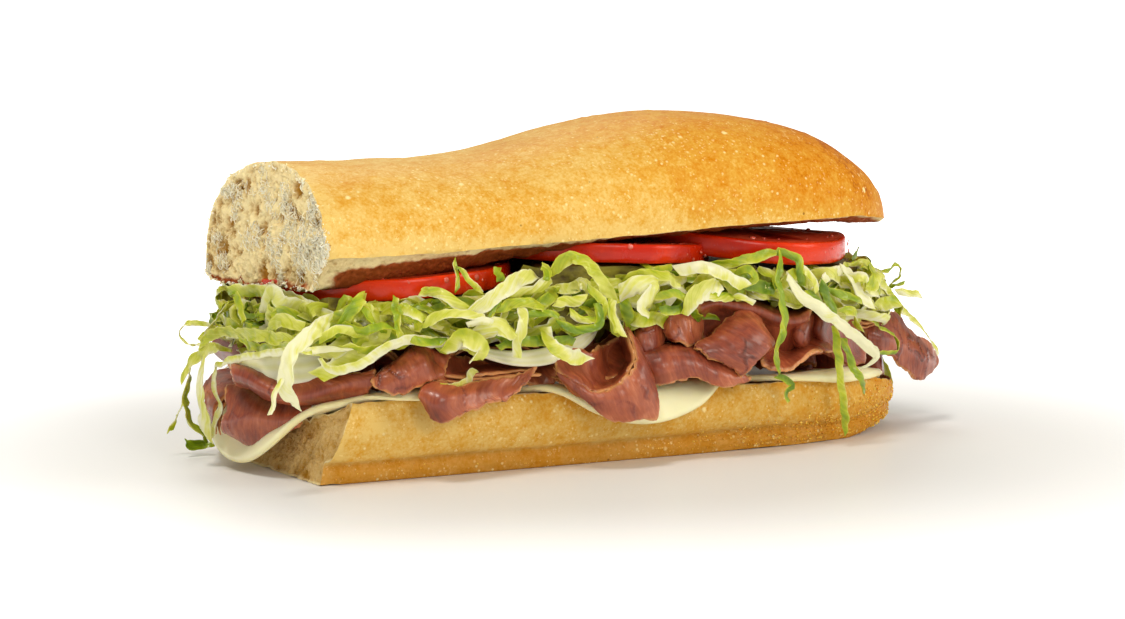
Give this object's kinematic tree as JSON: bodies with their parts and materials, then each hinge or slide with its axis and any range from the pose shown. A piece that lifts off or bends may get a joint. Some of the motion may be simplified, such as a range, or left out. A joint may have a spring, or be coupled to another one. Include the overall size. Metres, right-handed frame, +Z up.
{
  "type": "submarine sandwich",
  "caption": "Half of a submarine sandwich: a cut roll filled with cheese, folded roast beef, onion, shredded lettuce and tomato.",
  "frame": {"origin": "middle of the bottom roll's flat base, at the roll's mid-length, on the surface it stands on", "axes": "+X along the roll from the cut end to the rounded end, -Y the front, +Z up"},
  "size_m": [0.2187, 0.0915, 0.0872],
  "materials": {
    "crust": "matt baked crust and crumb",
    "cheese": "smooth, faintly waxy",
    "beef": "moist cooked meat",
    "tomato": "wet skin and flesh",
    "onion": "wet and translucent",
    "lettuce": "crisp, slightly wet leaf"
  },
  "bodies": {
    "root": {"bottom_roll": "crust", "top_roll": "crust", "cheese_left": "cheese", "cheese_middle": "cheese", "cheese_right": "cheese", "beef_end_fold": "beef", "beef_end_roll": "beef", "beef_left_wing": "beef", "beef_left_flap": "beef", "beef_left_top": "beef", "beef_middle_cup": "beef", "beef_middle_flap": "beef", "beef_middle_rolls": "beef", "beef_fan": "beef", "beef_right_top": "beef", "beef_right_boat": "beef", "beef_right_inner": "beef", "beef_tip_flap": "beef", "onion_left": "onion", "onion_middle": "onion", "lettuce": "lettuce", "tomato_left": "tomato", "tomato_middle": "tomato", "tomato_right": "tomato"}
  },
  "joints": []
}
